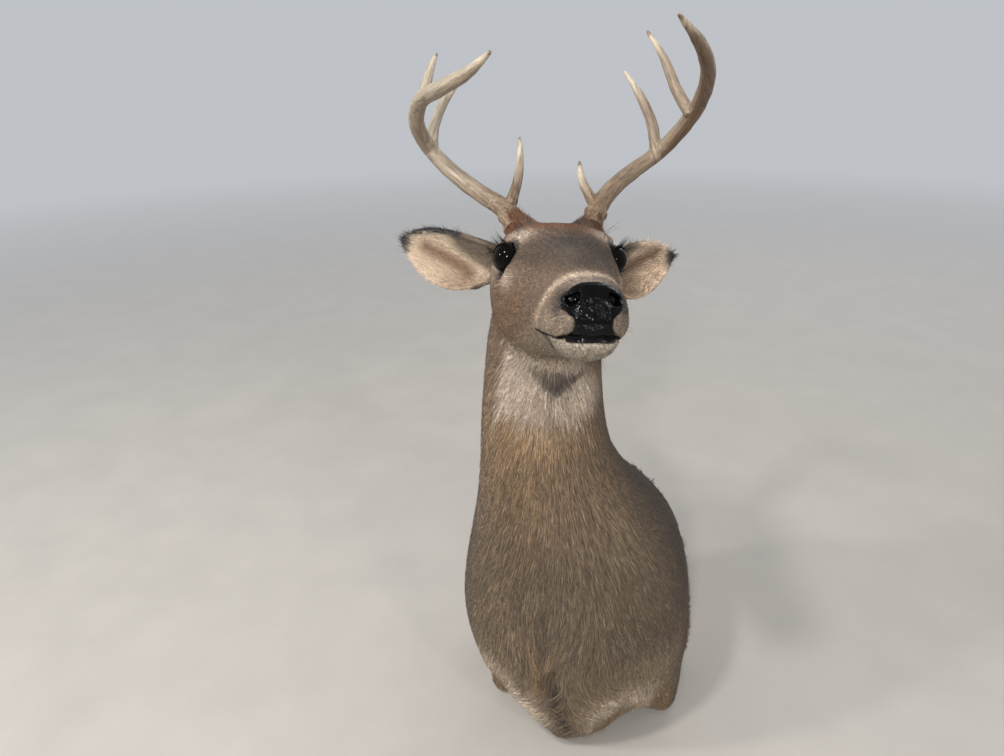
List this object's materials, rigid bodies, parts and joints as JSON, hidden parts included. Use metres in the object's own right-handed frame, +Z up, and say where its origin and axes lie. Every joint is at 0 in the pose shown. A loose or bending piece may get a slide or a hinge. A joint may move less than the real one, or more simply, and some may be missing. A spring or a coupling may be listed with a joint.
{
  "type": "whitetail buck shoulder mount",
  "caption": "Life-size shoulder mount of an antlered whitetail buck, head turned to its left, with a sloping plywood board let into the back.",
  "frame": {"origin": "at floor level under the middle of the bounding box", "axes": "+Z up, -Y to the front of the chest, +X to the buck's left"},
  "size_m": [0.3772, 0.3918, 0.7872],
  "materials": {
    "coat": "short hair over tanned hide, matte",
    "nose": "painted to look moist",
    "glass_eye": "glass eye, polished, near black",
    "antler": "bone, stained brown at the base and polished at the tips",
    "board": "bare plywood",
    "hanger": "zinc plated"
  },
  "bodies": {
    "root": {"eye_left": "glass_eye", "eye_right": "glass_eye", "nose_pad": "nose", "lower_jaw": "coat", "head": "coat", "ear_left": "coat", "ear_right": "coat", "antler_left_base": "antler", "antler_left_beam_lower": "antler", "antler_left_beam_middle": "antler", "antler_left_beam_tip": "antler", "antler_left_brow_tine": "antler", "antler_left_second_tine": "antler", "antler_left_third_tine": "antler", "antler_right_base": "antler", "antler_right_beam_lower": "antler", "antler_right_beam_middle": "antler", "antler_right_beam_tip": "antler", "antler_right_brow_tine": "antler", "antler_right_second_tine": "antler", "antler_right_third_tine": "antler", "leg_stub_left": "coat", "leg_stub_right": "coat", "trunk": "coat", "neck": "coat", "back_board": "board", "wall_hanger": "hanger"}
  },
  "joints": []
}
